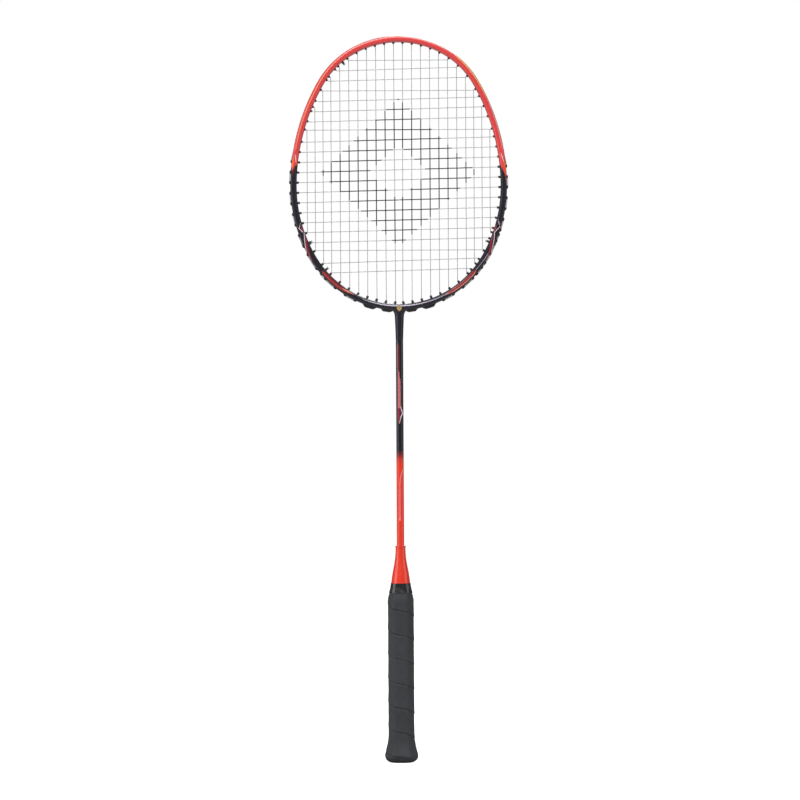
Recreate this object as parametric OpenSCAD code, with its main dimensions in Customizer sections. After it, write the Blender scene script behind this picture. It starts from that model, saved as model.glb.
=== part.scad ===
// Badminton racket, standing upright on its butt.
// X runs across the head, Y is square to the strings, Z runs up the shaft.
// The origin is the middle of the butt face. Headings are degrees along the head,
// from 0 at the crown to 180 at the throat, negative on the left side.

/* [Head] */
// Overall length, butt face to crown
overall_len = 675; // [650:1:680]
// Radius of the head's centre line over the crown
crown_r = 86.3; // [84:0.1:88]
// Radius of the centre line round each shoulder
shoulder_r = 78.8; // [77:0.1:80]
// Radius of the centre line along each upper flank
upper_flank_r = 192.3; // [186:0.1:196]
// Radius of the centre line along each lower flank
lower_flank_r = 131.8; // [128:0.1:135]
// Radius of the centre line round each lower corner
lower_corner_r = 94.3; // [92:0.1:96]
// Width of the head tube in the plane of the strings
tube_w = 6; // [6:0.1:7]
// Depth of the head tube, square to the strings
tube_d = 10.4; // [10:0.1:11]
// Corner radius of the head tube
tube_corner_r = 2.4; // [2:0.1:2.4]
// Wall of the head tube
tube_wall = 1; // [0.8:0.1:1.2]
// Width of the string groove over the upper part of the head
groove_w = 3.4; // [3.2:0.1:4]
// Depth of the string groove
groove_depth = 1; // [0.6:0.1:1.2]
// Heading at which the groove ends on each side
groove_end = 82; // [76:1:88]

/* [Strings] */
// Diameter of the string
string_d = 0.7; // [0.6:0.02:0.76]
// Pitch of the main strings over the middle of the head
main_pitch = 8.35; // [8.2:0.05:8.5]
// Pitch of the three outer main strings on each side
outer_main_pitch = 7.45; // [7.2:0.05:7.6]
// Pitch of the cross strings
cross_pitch = 9.35; // [9.2:0.05:9.5]
// Distance from the crown down to the top cross string
first_cross_drop = 21.6; // [20:0.1:23]
// Rise of the cross strings to the right, in degrees
cross_rise = 1.35; // [0:0.05:1.5]

/* [Grommets] */
// Diameter of the hole drilled for a grommet
grommet_hole_d = 2.3; // [2.3:0.1:2.6]
// Bore of a grommet
grommet_bore_d = 1.6; // [1.6:0.05:1.7]
// How far a grommet stands out of the tube on the inside
grommet_nose = 2; // [1:0.1:2.5]
// Thickness of a grommet's flange
flange_t = 0.4; // [0.3:0.05:0.6]
// Lean of the two holes next to the throat; the next two on each side lean less
throat_lean = 22; // [20:1:26]

/* [Shaft and cone] */
// Diameter of the shaft
shaft_d = 6.8; // [6.6:0.1:7.2]
// Wall of the shaft
shaft_wall = 1.1; // [0.9:0.1:1.4]
// Length of the shaft held in the handle, below the cone
shaft_hold = 75; // [60:1:90]
// Length of the cone
cone_len = 34.4; // [30:0.2:38]
// Wall of the cone
cone_wall = 1.2; // [1:0.1:1.4]

/* [Handle] */
// Length of the handle, butt face to the foot of the cone
handle_len = 166.4; // [160:0.2:172]
// Width of the grip in the plane of the strings
grip_w = 24.2; // [23:0.1:26]
// Depth of the grip, square to the strings
grip_d = 22.6; // [21.5:0.1:24]
// Size of the grip's corner bevels
bevel = 5.6; // [5:0.1:6.2]
// Thickness of the grip wrap
wrap_t = 1.6; // [1.4:0.1:1.8]
// Width of the flared butt
butt_w = 31; // [29:0.5:32]

/* [Hidden] */
$fn = 120;
cut = 0.5;           // overshoot of a cutting shape
fit = 0.03;          // clearance between two fitted pieces

// ---- Head outline: six tangent arcs on each side, 30 degrees of heading each ----
arc_step = 30;
s30 = sin(arc_step);
s60 = sin(2 * arc_step);
// The throat arc's radius closes the outline on the centre line
throat_r = crown_r + (s60 - s30) / s30 * (shoulder_r - lower_corner_r)
    + (1 - s60) / s30 * (upper_flank_r - lower_flank_r);
arc_r = [crown_r, shoulder_r, upper_flank_r, lower_flank_r, lower_corner_r, throat_r];

function dir(h) = [sin(h), cos(h)];
function arc_index(h) = min(len(arc_r) - 1, floor(h / arc_step));
function arc_centre(k) = k == 0
    ? [0, overall_len - tube_w / 2 - crown_r]
    : arc_centre(k - 1) + (arc_r[k - 1] - arc_r[k]) * dir(k * arc_step);
centres = [for (k = [0:len(arc_r) - 1]) arc_centre(k)];

// Point of the head at heading h (right side), out millimetres outside its centre line
function hoop_point(h, out) =
    centres[arc_index(h)] + (arc_r[arc_index(h)] + out) * dir(h);
throat_z = hoop_point(180, tube_w / 2)[1];

// ---- Holes for the strings ----
nose_out = -tube_w / 2 - grommet_nose;   // inner mouth of a grommet
string_in = nose_out - 0.3;              // where a string turns into a grommet
main_count = 11;                         // main strings on each side
inner_mains = 8;
cross_count = 22;
share_gap = 3.95;                        // closer holes than this become one
string_y = 0.4;                          // mains and crosses pass side by side

function main_x(i) = main_pitch * (min(i, inner_mains) - 0.5)
    + outer_main_pitch * max(0, i - inner_mains);
function first(list) = list[0];
function in_arc(h, k) = h >= k * arc_step && h < (k + 1) * arc_step;

// Headings at which the line x = const meets the grommets' inner mouths
function main_top(i) = first([for (k = [0:2])
    let (h = asin((main_x(i) - centres[k][0]) / (arc_r[k] + string_in)))
    if (in_arc(h, k)) h]);
function main_foot(i) = first([for (k = [3:5])
    let (h = 180 - asin((main_x(i) - centres[k][0]) / (arc_r[k] + string_in)))
    if (in_arc(h, k)) h]);
main_tops = [for (i = [1:main_count]) main_top(i)];
main_feet = [for (i = [1:main_count]) main_foot(i)];
main_holes = concat(main_tops, main_feet);

// Heading at which cross string j, rising by the angle given, meets the mouths
function cross_z(j) = overall_len - first_cross_drop - j * cross_pitch;
function cross_free(j, rise) = first([for (k = [0:len(arc_r) - 1])
    let (away = sin(rise) * centres[k][0] + cos(rise) * (cross_z(j) - centres[k][1]))
    if (abs(away) < arc_r[k] + string_in)
    let (h = acos(away / (arc_r[k] + string_in)) - rise)
    if (in_arc(h, k)) h]);
function along(h, other) = abs(h - other) * arc_r[arc_index(h)] * PI / 180;
// A cross string shares the hole of a main string that lies beside it
function shared(h) = [for (m = main_holes) if (along(h, m) < share_gap) m];
function snap(h) = len(shared(h)) > 0 ? shared(h)[0] : h;
cross_right = [for (j = [0:cross_count - 1]) snap(cross_free(j, cross_rise))];
cross_left = [for (j = [0:cross_count - 1]) snap(cross_free(j, -cross_rise))];
own_right = [for (j = [0:cross_count - 1])
    let (h = cross_free(j, cross_rise)) if (len(shared(h)) == 0) h];
own_left = [for (j = [0:cross_count - 1])
    let (h = cross_free(j, -cross_rise)) if (len(shared(h)) == 0) h];

// Tie-off holes, midway between two others
main_tie = (main_feet[10] + main_feet[9]) / 2;
cross_tie_top = (main_tops[6] + main_tops[5]) / 2;
cross_tie_foot = (main_feet[8] + main_feet[7]) / 2;
tie_offs = [main_tie, -main_tie, -cross_tie_top, -cross_tie_foot];

throat_mains = 4;                        // mains that end in the twin throat grommets
function is_throat(h) = h > (main_feet[throat_mains - 1] + main_feet[throat_mains]) / 2;
plain_holes = concat(
    [for (h = main_holes) if (!is_throat(h)) h],
    [for (h = main_holes) if (!is_throat(h)) -h],
    own_right,
    [for (h = own_left) -h]);
throat_holes = [for (i = [0:throat_mains - 1]) main_feet[i]];
all_holes = concat(plain_holes, tie_offs, throat_holes, [for (h = throat_holes) -h]);

lean_share = [1, 0.65, 0.25];             // of throat_lean, for mains 1 to 3
lean_room = 0.6;                          // a leaning hole is that much longer
function lean(h) = throat_lean * first(concat(
    [for (i = [0:2]) if (abs(h) == main_feet[i]) lean_share[i]], [0]));
// Point on a hole's axis; depth is measured like hoop_point's out
function hole_point(h, out, y = 0) =
    let (a = abs(h), side = h < 0 ? -1 : 1,
         base = hoop_point(a, -tube_w / 2),
         p = base + (out + tube_w / 2) * dir(a - lean(h)))
    [side * p[0], y, p[1]];

// ---- Where the string runs outside the head ----
saddle_h = 1.6;                          // height of a throat grommet's saddle
string_gap = string_d / 2 + 0.02;
function floor_out(h) = abs(h) < groove_end ? tube_w / 2 - groove_depth : tube_w / 2;
function string_out(h) = is_throat(abs(h))
    ? tube_w / 2 + saddle_h + string_gap
    : floor_out(h) + flange_t + string_gap;
loop_step = 4;                           // degrees between the points of a loop
function loop_points(a, b, y) =
    let (n = max(1, ceil(abs(b - a) / loop_step)))
    [for (i = [1:n - 1])
        let (h = a + (b - a) * i / n,
             out = string_out(a) + (string_out(b) - string_out(a)) * i / n,
             p = hoop_point(abs(h), max(out, string_out(h))))
        [sign(h) * p[0], y, p[1]]];
function outer_end(h, y) = hole_point(h, string_out(h), y);
function inner_end(h, y) = hole_point(h, string_in, y);

// ---- Main strings, one length of string, left to right ----
settle = 1.6;                            // length in which a main reaches the middle plane
columns = concat([for (i = [main_count:-1:1]) -i], [for (i = [1:main_count]) i]);
function col_top(c) = sign(columns[c]) * main_tops[abs(columns[c]) - 1];
function col_foot(c) = sign(columns[c]) * main_feet[abs(columns[c]) - 1];
function column_up(c) =
    let (low = inner_end(col_foot(c), string_y), high = inner_end(col_top(c), string_y),
         x = (low[0] + high[0]) / 2)
    [outer_end(col_foot(c), string_y), low, [x, 0, low[2] + settle],
     [x, 0, high[2] - settle], high, outer_end(col_top(c), string_y)];
function reversed(list) = [for (i = [len(list) - 1:-1:0]) list[i]];
function column(c) = c % 2 == 0 ? column_up(c) : reversed(column_up(c));
function column_link(c) = c % 2 == 0
    ? loop_points(col_top(c), col_top(c + 1), string_y)
    : loop_points(col_foot(c), col_foot(c + 1), string_y);
// From the knot at a tie-off hole's mouth, out through the hole and along to hole h
knot_swell = [0.8, 2.2, 2.9, 2.2, 1];
function tie_points(tie, h, y) = concat(
    [for (d = [2, 1.5, 1, 0.5, 0.1]) hole_point(tie, nose_out - d)],
    [hole_point(tie, string_out(tie), y)],
    loop_points(tie, h, y));
main_route = concat(
    tie_points(-main_tie, col_foot(0), string_y),
    [for (c = [0:2 * main_count - 1])
        each concat(column(c), c < 2 * main_count - 1 ? column_link(c) : [])],
    reversed(tie_points(main_tie, col_foot(2 * main_count - 1), string_y)));

// ---- Cross strings, one length of string, top to bottom ----
weave_h = string_d + 0.02;               // swing of a cross over and under the mains
main_xs = [for (c = columns) sign(c) * main_x(abs(c))];
function left_end(j) = inner_end(-cross_left[j], -string_y);
function right_end(j) = inner_end(cross_right[j], -string_y);
function slope(j) = atan2(right_end(j)[2] - left_end(j)[2], right_end(j)[0] - left_end(j)[0]);
function cross_mid_z(j) = left_end(j)[2] - left_end(j)[0] * tan(slope(j));
end_room = 3.4;                          // a cross passes a main nearer its end unwoven
function woven(j) = [for (i = [0:len(main_xs) - 1])
    if (main_xs[i] > left_end(j)[0] + end_room && main_xs[i] < right_end(j)[0] - end_room) i];
function on_cross(j, x) = [x, 0, cross_mid_z(j) + x * tan(slope(j))];
function cross_loop(j) = j % 2 == 0
    ? loop_points(cross_right[j], cross_right[j + 1], -string_y)
    : loop_points(-cross_left[j], -cross_left[j + 1], -string_y);
// Cross string j from left to right, over and under the mains
function cross_run(j) = concat(
    [outer_end(-cross_left[j], -string_y), left_end(j)],
    [for (i = woven(j)) on_cross(j, main_xs[i]) + [0, (i + j) % 2 == 0 ? weave_h : -weave_h, 0]],
    [right_end(j), outer_end(cross_right[j], -string_y)]);
cross_route = concat(
    tie_points(-cross_tie_top, -cross_left[0], -string_y),
    [for (j = [0:cross_count - 1]) each concat(
        j % 2 == 0 ? cross_run(j) : reversed(cross_run(j)),
        j < cross_count - 1 ? cross_loop(j) : [])],
    reversed(tie_points(-cross_tie_foot, -cross_left[cross_count - 1], -string_y)));

// ---- Heights along the shaft and the handle ----
cone_top_z = handle_len + cone_len;
collar_len = 20;                         // tapered sleeve of the T joint
collar_top_r = 4.2;
collar_foot_r = shaft_d / 2 + 0.15;
neck_len = 7;                            // flared neck between collar and head
neck_flare = 1;
neck_r = (neck_len * neck_len + neck_flare * neck_flare) / (2 * neck_flare);
collar_z = throat_z - neck_len - collar_len;
shaft_top_z = throat_z - 3;
shaft_foot_z = handle_len - shaft_hold;
shaft_bore_r = shaft_d / 2 - shaft_wall;
tenon_len = 30;
tenon_r = shaft_bore_r - fit;

cone_top_r = 4.5;
cone_turn = 12;                          // steepest lean of the cone's side, degrees
cone_foot_lean = 6;
cone_hollow_r = 95;                      // concave upper stretch
cone_drop = cone_hollow_r * sin(cone_turn);
cone_round_r = (cone_len - cone_drop) / (sin(cone_turn) - sin(cone_foot_lean));
cone_edge = concat(
    [for (a = [0:1:cone_turn])
        [cone_top_r + cone_hollow_r * (1 - cos(a)), cone_top_z - cone_hollow_r * sin(a)]],
    [for (a = [cone_turn - 1:-1:cone_foot_lean])
        [cone_top_r + cone_hollow_r * (1 - cos(cone_turn))
            + cone_round_r * (cos(a) - cos(cone_turn)),
         cone_top_z - cone_drop - cone_round_r * (sin(cone_turn) - sin(a))]]);
lip_r = cone_top_r + 0.45;
lip_h = 1.2;
cone_roof = 6;                           // solid upper end of the cone

spigot_r = 6.4;                          // round end of the core inside the cone
spigot_h = 4.6;
bevel_shrink = 2 - sqrt(2);              // a bevel narrows by this per unit of inset
core_w = grip_w - 2 * wrap_t;
core_d = grip_d - 2 * wrap_t;
grip_shoulder_z = handle_len - 15.8;     // the grip narrows above this
grip_top_z = handle_len - 0.9;
grip_neck_w = 17.7;                      // width of the grip's thin upper end
grip_neck_t = 0.8;
tape_foot_z = handle_len - 8.8;
tape_t = 0.5;

belly_z = 7;                             // height of the butt's widest point
flare_z = 26;                            // the grip is straight above this
rim_h = 1.6;                             // the cap's bare rim below the wrap
cap_h = 19;
cap_floor = 4;
tenon_inset = 0.8;                       // the core is thinner inside the cap
tenon_bevel = bevel - bevel_shrink * (wrap_t + tenon_inset);
flare_curve = 1.6;                       // how the flare gathers towards the belly
belly_curve = 2.5;                       // roundness of the butt below the belly
butt_cut = 0.86;                         // share of that curve above the flat face
medallion_r = 8;
medallion_t = 0.7;
medallion_deep = 0.3;

// Width added to the straight grip at height z
function flare(z) = z >= flare_z ? 0
    : z >= belly_z ? (butt_w - grip_w) * pow((flare_z - z) / (flare_z - belly_z), flare_curve)
    : butt_w * pow(1 - pow(butt_cut * (belly_z - z) / belly_z, belly_curve), 1 / belly_curve)
        - grip_w;
function grip_section(z, inset) =
    [z, grip_w + flare(z) - 2 * inset, grip_d + flare(z) - 2 * inset,
     bevel * (grip_w + flare(z)) / grip_w - bevel_shrink * inset];
neck_ratio = grip_neck_w / grip_w;
function neck_section(z, inset) =
    [z, grip_neck_w - 2 * inset, grip_d * neck_ratio - 2 * inset,
     bevel * neck_ratio - bevel_shrink * inset];
// Section between the grip's shoulder and its top, at height z
function taper_section(z, inset) =
    let (t = (z - grip_shoulder_z) / (grip_top_z - grip_shoulder_z))
    (1 - t) * grip_section(grip_shoulder_z, inset) + t * neck_section(grip_top_z, inset)
        - [(1 - t) * grip_shoulder_z + t * grip_top_z - z, 0, 0, 0];
butt_levels = [0, 0.4, 1, rim_h, 2.6, 4, 5.6, belly_z, 9.5, 11.5, 13.5, 15.5, 17.5, cap_h];
grip_levels = concat([for (z = butt_levels) if (z >= rim_h) z], [21, 23.5, flare_z]);

staple_z = 34;
staple_w = 8;
staple_r = 0.35;
staple_leg = 5;
staple_room = 0.1;
staple_y = core_d / 2 + staple_r + staple_room / 2;

// ---- Shapes shared by several pieces ----
module rounded(w, d, r) {
    square([w, d - 2 * r], center = true);
    square([w - 2 * r, d], center = true);
    for (x = [-1, 1], y = [-1, 1])
        translate([x * (w / 2 - r), y * (d / 2 - r)]) circle(r = r, $fn = 32);
}

module tube_solid() rounded(tube_w, tube_d, tube_corner_r);

module tube_hollow(extra = 0) {
    w = tube_w - 2 * tube_wall - groove_depth - 2 * extra;
    translate([-groove_depth / 2, 0])
        rounded(w, tube_d - 2 * tube_wall - 2 * extra, tube_corner_r - tube_wall - extra);
}

// Corner points of the tube's section, as [out, y], with the groove open or filled in
function corner(w, d, r, turn, n) = [for (i = [0:n - 1])
    let (a = turn + 90 * i / (n - 1), sx = turn == 0 || turn == 270 ? 1 : -1,
         sy = turn < 180 ? 1 : -1)
    [sx * (w / 2 - r) + r * cos(a), sy * (d / 2 - r) + r * sin(a)]];
function groove_points(deep) = let (x = tube_w / 2, y = groove_w / 2)
    [[x, -y], [x - deep, -y + 0.1], [x - deep, y - 0.1], [x, y]];
function outer_ring(deep) = concat(groove_points(deep),
    [for (turn = [0, 90, 180, 270]) each corner(tube_w, tube_d, tube_corner_r, turn, 4)]);
function inner_ring() = [for (turn = [0, 90, 180, 270])
    each [for (p = corner(tube_w - 2 * tube_wall - groove_depth, tube_d - 2 * tube_wall,
                          tube_corner_r - tube_wall, turn, 2)) p - [groove_depth / 2, 0]]];

// Closed ring swept once round the whole head; the groove fades out below its end
ring_step = 5;
module head_ring(inside) {
    headings = [for (h = [0:ring_step:360 - ring_step]) h > 180 ? h - 360 : h];
    m = len(inside ? inner_ring() : outer_ring(0));
    n = len(headings);
    points = [for (h = headings)
        let (side = h < 0 ? -1 : 1,
             ring = inside ? inner_ring() : outer_ring(abs(h) <= groove_end ? groove_depth : 0.02))
        each [for (q = ring) let (p = hoop_point(abs(h), q[0])) [side * p[0], q[1], p[1]]]];
    faces = [for (i = [0:n - 1], k = [0:m - 1])
        let (a = i * m + k, b = i * m + (k + 1) % m,
             c = (i + 1) % n * m + k, d = (i + 1) % n * m + (k + 1) % m)
        each [[a, b, c], [b, d, c]]];
    polyhedron(points = points, faces = faces, convexity = 10);
}

// Sweeps a section along both sides of the head, from one heading to another
module sweep_head(from, to) {
    for (side = [0, 1]) mirror([side, 0, 0])
        for (k = [0:len(arc_r) - 1]) {
            low = max(from, k * arc_step);
            high = min(to, (k + 1) * arc_step);
            if (high > low)
                translate([centres[k][0], 0, centres[k][1]])
                rotate([90, 0, 0]) rotate([0, 0, 90 - high])
                rotate_extrude(angle = high - low, $fn = 240)
                translate([arc_r[k], 0]) children();
        }
}

// Puts a child, drawn along +Z, on the axis of the hole at heading h
module at_hole(h, out) {
    p = hole_point(h, out);
    translate(p) rotate([0, sign(h) * (abs(h) - lean(h)), 0]) children();
}

module drill(h, r) at_hole(h, -tube_w / 2 - cut)
    cylinder(r = r, h = tube_w + 2 * cut + lean_room, $fn = 24);

// Round tube swept through the points, mitred at each bend; swell widens it point by point
function unit(v) = v / norm(v);
module string_tube(points, swell = []) {
    n = len(points);
    sides = 6;
    rings = [for (i = [0:n - 1])
        let (before = unit(points[max(i, 1)] - points[max(i, 1) - 1]),
             after = unit(points[min(i, n - 2) + 1] - points[min(i, n - 2)]),
             t = unit(before + after),
             across = unit(cross(t, [0, 1, 0])),
             up = cross(across, t),
             mitre = 1 / max(0.4, before * t),
             r = string_d / 2 * (i < len(swell) ? swell[i] : 1)
                 * (n - 1 - i < len(swell) ? swell[n - 1 - i] : 1))
        each [for (k = [0:sides - 1]) let (a = 360 * k / sides)
            points[i] + r * (cos(a) * up + mitre * sin(a) * across)]];
    walls = [for (i = [0:n - 2], k = [0:sides - 1])
        let (a = i * sides + k, b = i * sides + (k + 1) % sides)
        each [[a, a + sides, b], [b, a + sides, b + sides]]];
    ends = [[for (k = [0:sides - 1]) k], [for (k = [sides - 1:-1:0]) (n - 1) * sides + k]];
    polyhedron(points = rings, faces = concat(walls, ends), convexity = 10);
}

// Octagonal solid through a list of [z, width, depth, bevel] sections
function octagon(s) = let (x = s[1] / 2, y = s[2] / 2, b = s[3])
    [[x, b - y, s[0]], [x, y - b, s[0]], [x - b, y, s[0]], [b - x, y, s[0]],
     [-x, y - b, s[0]], [-x, b - y, s[0]], [b - x, -y, s[0]], [x - b, -y, s[0]]];
module loft(sections) {
    n = len(sections);
    points = [for (s = sections) each octagon(s)];
    sides = [for (k = [0:n - 2], i = [0:7]) each
        [[8 * k + i, 8 * k + 8 + i, 8 * k + (i + 1) % 8],
         [8 * k + (i + 1) % 8, 8 * k + 8 + i, 8 * k + 8 + (i + 1) % 8]]];
    ends = [[for (i = [0:7]) i], [for (i = [7:-1:0]) 8 * (n - 1) + i]];
    polyhedron(points = points, faces = concat(sides, ends), convexity = 4);
}

// ---- Pieces of the head ----
module head_frame() color("orangered") difference() {
    head_ring(false);
    head_ring(true);
    for (h = all_holes) drill(h, grommet_hole_d / 2);
    translate([0, 0, throat_z - cut])
        cylinder(r = tenon_r + fit, h = tube_wall + groove_depth + 2 * cut, $fn = 48);
}

module t_joint() color("black") difference() {
    rotate_extrude($fn = 96) polygon(concat(
        [[0, collar_z], [collar_foot_r, collar_z]],
        [for (t = [0:0.125:1]) [
            collar_top_r + neck_r - sqrt(pow(neck_r, 2) - pow(t * neck_len, 2)),
            collar_z + collar_len + t * neck_len]],
        [[collar_top_r + neck_flare, throat_z + 1], [0, throat_z + 1]]));
    sweep_head(150, 180) tube_solid();
    translate([0, 0, collar_z - cut])
        cylinder(d = shaft_d, h = shaft_top_z - collar_z + cut, $fn = 64);
    cylinder(r = tenon_r + fit, h = overall_len, $fn = 48);
}

// Moulded insert that ties the shaft to the head from inside
module shaft_tenon() color("dimgray") difference() {
    insert_reach = 12;                   // degrees of the head on each side
    arm_room = 0.15;
    stem_foot_z = shaft_top_z - tenon_len;
    stem_top_z = throat_z + tube_wall + groove_depth + 1;
    union() {
        sweep_head(180 - insert_reach, 180) tube_hollow(arm_room);
        translate([0, 0, stem_foot_z])
            cylinder(r = tenon_r, h = stem_top_z - stem_foot_z, $fn = 48);
    }
    for (h = throat_holes, side = [-1, 1]) drill(side * h, grommet_hole_d / 2);
}

module shaft() color("orangered") difference() {
    translate([0, 0, shaft_foot_z])
        cylinder(d = shaft_d, h = shaft_top_z - shaft_foot_z, $fn = 64);
    translate([0, 0, shaft_foot_z - cut])
        cylinder(r = shaft_bore_r, h = shaft_top_z - shaft_foot_z + 2 * cut, $fn = 64);
}

// ---- Strings ----
module main_strings() color("whitesmoke") string_tube(main_route, knot_swell);

module cross_strings() color("whitesmoke") string_tube(cross_route, knot_swell);

// ---- Grommets ----
module grommet(h, flange_r) difference() {
    union() {
        at_hole(h, nose_out)
            cylinder(d = grommet_hole_d - 2 * fit, h = floor_out(h) - nose_out + flange_t / 2,
                     $fn = 24);
        at_hole(h, floor_out(h)) cylinder(r = flange_r, h = flange_t, $fn = 24);
    }
    at_hole(h, nose_out - cut)
        cylinder(d = grommet_bore_d, h = floor_out(h) - nose_out + flange_t + 2 * cut, $fn = 24);
}

groove_flange_r = groove_w / 2 - 0.05;
side_flange_r = 1.9;

module crown_grommets() color("dimgray")
    for (h = plain_holes) if (abs(h) < groove_end) grommet(h, groove_flange_r);

module side_grommets() color("black")
    for (h = plain_holes) if (abs(h) > groove_end) grommet(h, side_flange_r);

module tie_off_grommets() color("darkslategray")
    for (h = tie_offs) grommet(h, groove_flange_r);

// Two barrels joined by a raised saddle that carries the string's loop, right side
module twin_grommet(a, b) {
    seat = tube_w / 2 + 0.12;            // clears the round of the head between the holes
    sunk = 0.5;                          // length of each barrel inside the saddle
    saddle_w = 2.8;
    overhang = grommet_bore_d / 2 + 0.5;
    p = hole_point(a, seat);
    q = hole_point(b, seat);
    difference() {
        union() {
            for (h = [a, b]) at_hole(h, nose_out)
                cylinder(d = grommet_hole_d - 2 * fit, h = seat - nose_out + sunk, $fn = 24);
            translate(p) rotate([0, atan2(p[2] - q[2], q[0] - p[0]), 0])
                translate([-overhang, -saddle_w / 2, -saddle_h])
                cube([norm(q - p) + 2 * overhang, saddle_w, saddle_h]);
        }
        for (h = [a, b]) at_hole(h, nose_out - cut)
            cylinder(d = grommet_bore_d, h = seat - nose_out + saddle_h + 3 * cut, $fn = 24);
    }
}

module throat_grommets() color("black")
    for (side = [0, 1], i = [0, 2])
        mirror([side, 0, 0]) twin_grommet(throat_holes[i], throat_holes[i + 1]);

// ---- Cone and handle ----
module cone_cap() color("orangered") difference() {
    union() {
        rotate_extrude($fn = 96)
            polygon(concat([[0, cone_top_z]], cone_edge, [[0, handle_len]]));
        translate([0, 0, cone_top_z - lip_h]) cylinder(r = lip_r, h = lip_h, $fn = 64);
    }
    rotate_extrude($fn = 96) polygon(concat(
        [[0, cone_top_z - cone_roof]],
        [for (p = cone_edge) if (p[1] < cone_top_z - cone_roof) p - [cone_wall, 0]],
        [cone_edge[len(cone_edge) - 1] - [cone_wall, cut], [0, handle_len - cut]]));
    translate([0, 0, handle_len - cut])
        cylinder(r = shaft_d / 2 + fit, h = cone_len + 2 * cut, $fn = 64);
}

// Section of the core's lower end, which sits in the cap, grown by the room given
function core_tenon(z, room) =
    [z, core_w - 2 * tenon_inset + 2 * room, core_d - 2 * tenon_inset + 2 * room, tenon_bevel];

module handle_core() color("burlywood") difference() {
    union() {
        loft([core_tenon(cap_floor + fit, 0),
              core_tenon(cap_h, 0),
              [cap_h, core_w, core_d, bevel - bevel_shrink * wrap_t],
              grip_section(grip_shoulder_z, wrap_t),
              taper_section(grip_top_z, grip_neck_t)]);
        translate([0, 0, grip_top_z]) cylinder(r = spigot_r, h = spigot_h, $fn = 64);
    }
    translate([0, 0, shaft_foot_z])
        cylinder(r = shaft_d / 2 + fit, h = handle_len, $fn = 64);
    staple_legs(fit);
}

module butt_cap() color("black") difference() {
    loft(concat(
        [for (z = butt_levels) if (z <= rim_h) grip_section(z, 0)],
        [for (z = butt_levels) if (z >= rim_h) grip_section(z, wrap_t + fit)]));
    loft([core_tenon(cap_floor, fit), core_tenon(cap_h + cut, fit)]);
    translate([0, 0, -cut])
        cylinder(r = medallion_r + fit, h = medallion_deep + medallion_t + cut, $fn = 96);
}

module butt_medallion() color("silver")
    translate([0, 0, medallion_deep]) cylinder(r = medallion_r, h = medallion_t, $fn = 96);

module grip_tape() color("darkslategray") difference() {
    loft(concat(
        [for (z = grip_levels) grip_section(z, 0)],
        [grip_section(grip_shoulder_z, 0), taper_section(grip_top_z, 0)]));
    loft(concat(
        [grip_section(rim_h, wrap_t) - [cut, 0, 0, 0]],
        [for (z = grip_levels) grip_section(z, wrap_t)],
        [grip_section(grip_shoulder_z, wrap_t), taper_section(grip_top_z, grip_neck_t),
         taper_section(grip_top_z, grip_neck_t) + [cut, 0, 0, 0]]));
    // Pocket over the staple's crown
    translate([-staple_w / 2 - staple_room, core_d / 2 - staple_room,
               staple_z - staple_r - staple_room])
        cube([staple_w + 2 * staple_room, 2 * staple_r + 3 * staple_room,
              2 * (staple_r + staple_room)]);
}

module finishing_tape() color("black") difference() {
    loft([taper_section(tape_foot_z, -tape_t), taper_section(grip_top_z, -tape_t)]);
    loft([taper_section(tape_foot_z, -fit) - [cut, 0, 0, 0], taper_section(tape_foot_z, -fit),
          taper_section(grip_top_z, -fit), taper_section(grip_top_z, -fit) + [cut, 0, 0, 0]]);
}

module staple_legs(extra) for (side = [-1, 1])
    translate([side * (staple_w / 2 - staple_r), staple_y, staple_z]) rotate([90, 0, 0])
    cylinder(r = staple_r + extra, h = staple_leg + extra, $fn = 24);

// Wire staple that pins the wrap's lower end to the back of the core
module grip_staple() color("silver") {
    translate([-staple_w / 2, staple_y, staple_z]) rotate([0, 90, 0])
        cylinder(r = staple_r, h = staple_w, $fn = 24);
    staple_legs(0);
}

head_frame();
t_joint();
shaft_tenon();
shaft();
cone_cap();
handle_core();
butt_cap();
butt_medallion();
grip_tape();
finishing_tape();
grip_staple();
main_strings();
cross_strings();
crown_grommets();
side_grommets();
throat_grommets();
tie_off_grommets();
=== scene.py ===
"""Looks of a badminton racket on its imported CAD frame. Sizes are in mm until a mesh is made."""

import math

import bmesh
import bpy
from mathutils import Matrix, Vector


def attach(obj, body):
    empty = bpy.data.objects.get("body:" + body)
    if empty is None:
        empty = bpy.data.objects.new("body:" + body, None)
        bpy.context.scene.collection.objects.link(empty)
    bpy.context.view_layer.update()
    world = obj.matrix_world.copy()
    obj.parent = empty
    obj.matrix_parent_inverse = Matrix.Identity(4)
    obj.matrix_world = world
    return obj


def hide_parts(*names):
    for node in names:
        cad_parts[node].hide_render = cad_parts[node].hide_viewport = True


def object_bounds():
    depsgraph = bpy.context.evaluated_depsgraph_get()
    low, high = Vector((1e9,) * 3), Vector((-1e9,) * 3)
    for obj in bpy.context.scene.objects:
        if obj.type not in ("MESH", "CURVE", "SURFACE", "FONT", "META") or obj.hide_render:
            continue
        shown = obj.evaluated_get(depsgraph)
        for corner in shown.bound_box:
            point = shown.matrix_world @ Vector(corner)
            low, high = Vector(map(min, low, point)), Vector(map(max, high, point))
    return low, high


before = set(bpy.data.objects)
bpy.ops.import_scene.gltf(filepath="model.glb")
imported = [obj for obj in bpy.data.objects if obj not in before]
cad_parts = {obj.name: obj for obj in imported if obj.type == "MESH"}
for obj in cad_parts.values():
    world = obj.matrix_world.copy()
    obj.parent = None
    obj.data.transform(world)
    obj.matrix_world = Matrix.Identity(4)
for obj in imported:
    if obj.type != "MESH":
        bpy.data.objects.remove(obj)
cad_low, cad_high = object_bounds()
MM = 0.001

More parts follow.
